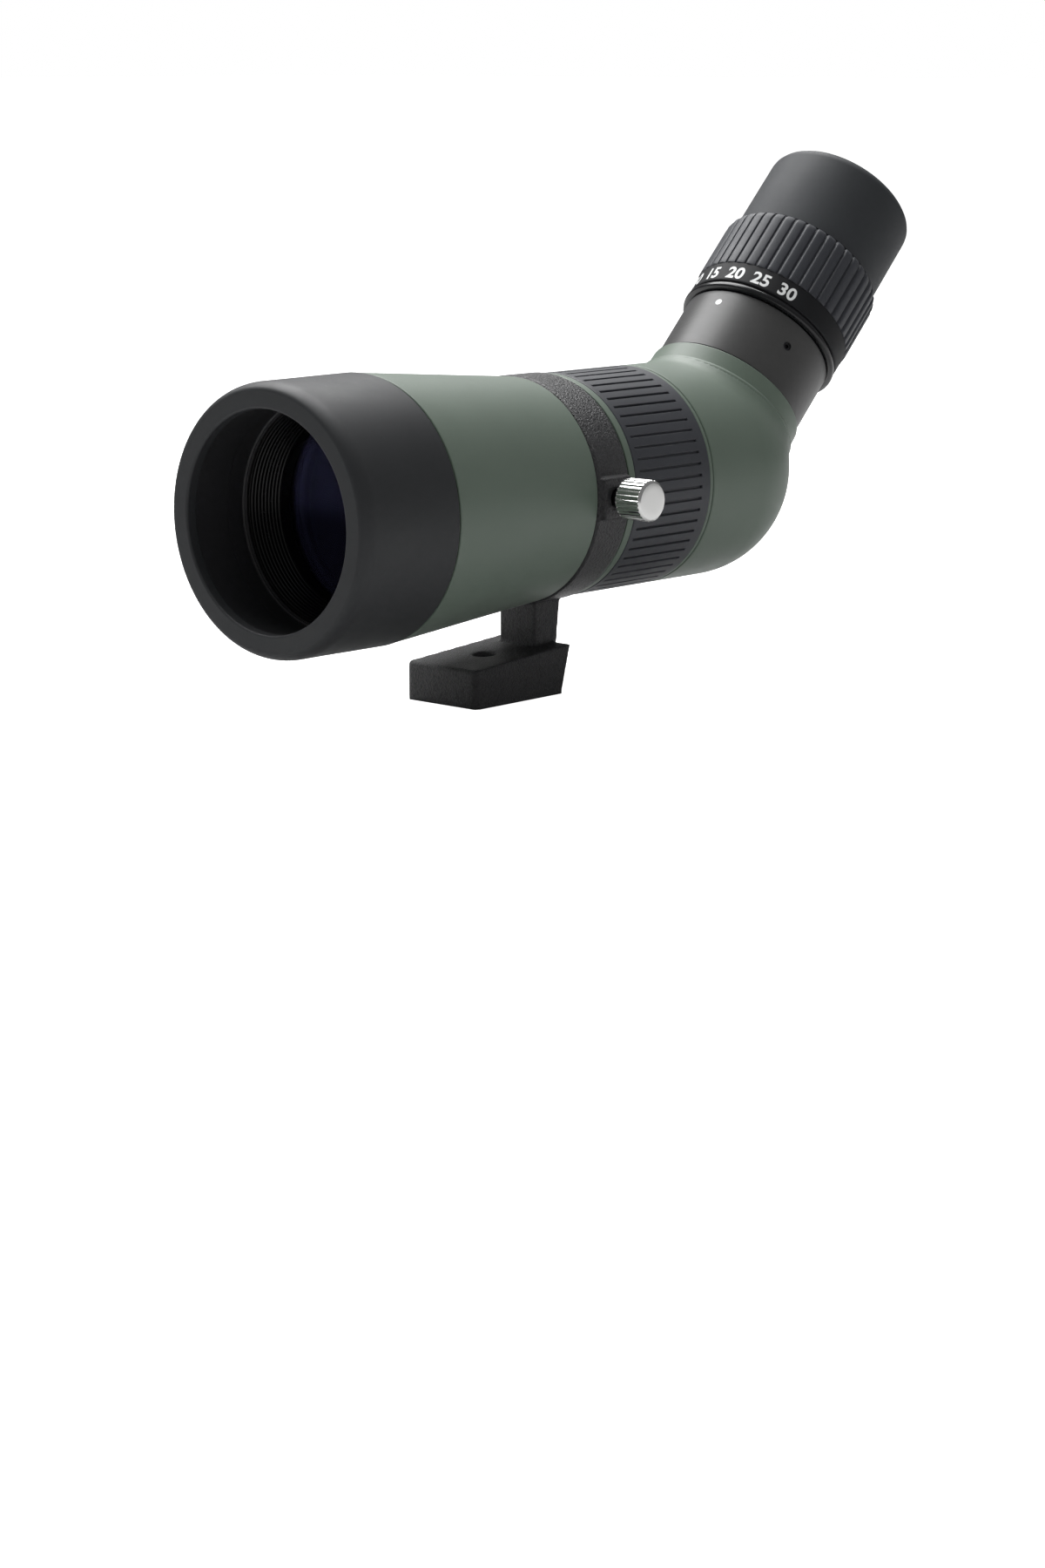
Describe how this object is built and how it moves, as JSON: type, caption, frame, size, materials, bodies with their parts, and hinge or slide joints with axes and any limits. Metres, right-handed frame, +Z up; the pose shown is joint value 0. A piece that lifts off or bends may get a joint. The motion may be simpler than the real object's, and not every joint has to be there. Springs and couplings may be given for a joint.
{
  "type": "spotting scope",
  "caption": "Angled zoom spotting scope with rubber hood, ring focus, 45 degree eyepiece with twist-up eyecup, in a rotating tripod collar with thumb knob.",
  "frame": {"origin": "centre of the tripod thread at the base of the foot", "axes": "+Z up; +X along the optical axis from the objective to the eyepiece; +Y away from the collar's thumb knob"},
  "size_m": [0.2502, 0.0789, 0.1415],
  "materials": {
    "black_armour": "matte",
    "green_armour": "matte rubberised paint",
    "black_anodised": "satin black",
    "black_casting": "textured black",
    "black_plastic": "matte",
    "grip_rubber": "matte",
    "chrome": "polished",
    "steel": "satin",
    "brass": "satin",
    "nylon": "natural",
    "optical_glass": "coated",
    "white_paint": "gloss"
  },
  "bodies": {
    "mount": {"collar_foot": "black_casting", "collar_liner": "nylon"},
    "clamp_slider": {"clamp_pad": "nylon"},
    "clamp_knob": {"clamp_screw": "steel", "knob_head": "chrome"},
    "scope": {"hood_rubber": "black_armour", "hood_barrel": "black_anodised", "objective_retainer": "black_plastic", "objective_cell": "black_anodised", "crown_lens": "optical_glass", "flint_lens": "optical_glass", "lens_spacer": "black_plastic", "objective_tube": "green_armour", "front_baffle": "black_plastic", "rear_baffle": "black_plastic", "collar_stop_ring": "black_anodised", "prism_housing": "green_armour", "housing_seal": "grip_rubber", "roof_prism": "optical_glass", "prism_cage": "black_plastic", "prism_clip": "steel", "prism_screws": "steel", "neck_adapter": "black_anodised", "neck_seal": "grip_rubber", "eyepiece_barrel": "black_anodised", "grub_screws": "steel", "index_dot": "white_paint", "field_stop": "black_anodised", "eye_tube": "black_plastic", "cup_pins": "steel", "rear_doublet": "optical_glass", "eye_spacer": "black_plastic", "eye_lens": "optical_glass", "eye_lens_ring": "black_plastic"},
    "focus_ring": {"focus_core": "green_armour", "focus_grip": "grip_rubber"},
    "focus_carriage": {"focus_cell": "black_anodised", "focus_pin": "steel", "focus_lens": "optical_glass", "focus_lens_ring": "black_anodised"},
    "zoom_ring": {"zoom_core": "black_anodised", "zoom_grip": "grip_rubber"},
    "field_group": {"field_cell": "black_anodised", "field_lens": "optical_glass", "field_pin": "steel"},
    "inner_group": {"inner_cell": "black_anodised", "inner_lens": "optical_glass", "inner_pin": "steel"},
    "cup_carrier": {"glide_ring": "nylon"},
    "eyecup": {"cup_sleeve": "black_plastic", "cup_rubber": "grip_rubber"}
  },
  "joints": [
    {"name": "scope_rotation", "type": "hinge", "parent": "mount", "child": "scope", "pos_m": [0, 0, 0.0546], "axis": [1, 0, 0], "continuous": true},
    {"name": "clamp_travel", "type": "slide", "parent": "mount", "child": "clamp_slider", "axis": [0, -1, 0], "range_m": [0, 0.0016]},
    {"name": "clamp_turn", "type": "hinge", "parent": "clamp_slider", "child": "clamp_knob", "pos_m": [0.0175, 0, 0.0546], "axis": [0, -1, 0], "range_deg": [0, 720.1]},
    {"name": "focus_travel", "type": "slide", "parent": "scope", "child": "focus_carriage", "axis": [1, 0, 0], "range_m": [-0.005, 0.005]},
    {"name": "focus_turn", "type": "hinge", "parent": "scope", "child": "focus_ring", "pos_m": [0.04, 0, 0.0546], "axis": [1, 0, 0], "range_deg": [-120.05, 120.05]},
    {"name": "field_travel", "type": "slide", "parent": "scope", "child": "field_group", "axis": [0.7071, 0, 0.7071], "range_m": [-0.00425, 0.00375]},
    {"name": "inner_travel", "type": "slide", "parent": "scope", "child": "inner_group", "axis": [0.7071, 0, 0.7071], "range_m": [-0.0016, 0.00141]},
    {"name": "zoom_turn", "type": "hinge", "parent": "scope", "child": "zoom_ring", "pos_m": [0.12133, 0, 0.09349], "axis": [0.7071, 0, 0.7071], "range_deg": [-43, 38]},
    {"name": "cup_travel", "type": "slide", "parent": "scope", "child": "cup_carrier", "axis": [0.7071, 0, 0.7071], "range_m": [-0.007, 0]},
    {"name": "cup_twist", "type": "hinge", "parent": "cup_carrier", "child": "eyecup", "pos_m": [0.14254, 0, 0.1147], "axis": [0.7071, 0, 0.7071], "range_deg": [-120.05, 0]}
  ],
  "couplings": [
    {"joint": "clamp_turn", "follows": "clamp_travel", "rad_per_m": 7854},
    {"joint": "focus_turn", "follows": "focus_travel", "rad_per_m": 418.88},
    {"joint": "zoom_turn", "follows": "field_travel", "rad_per_m": 176.71},
    {"joint": "inner_travel", "follows": "field_travel", "ratio": 0.375},
    {"joint": "cup_twist", "follows": "cup_travel", "rad_per_m": 299.2}
  ]
}
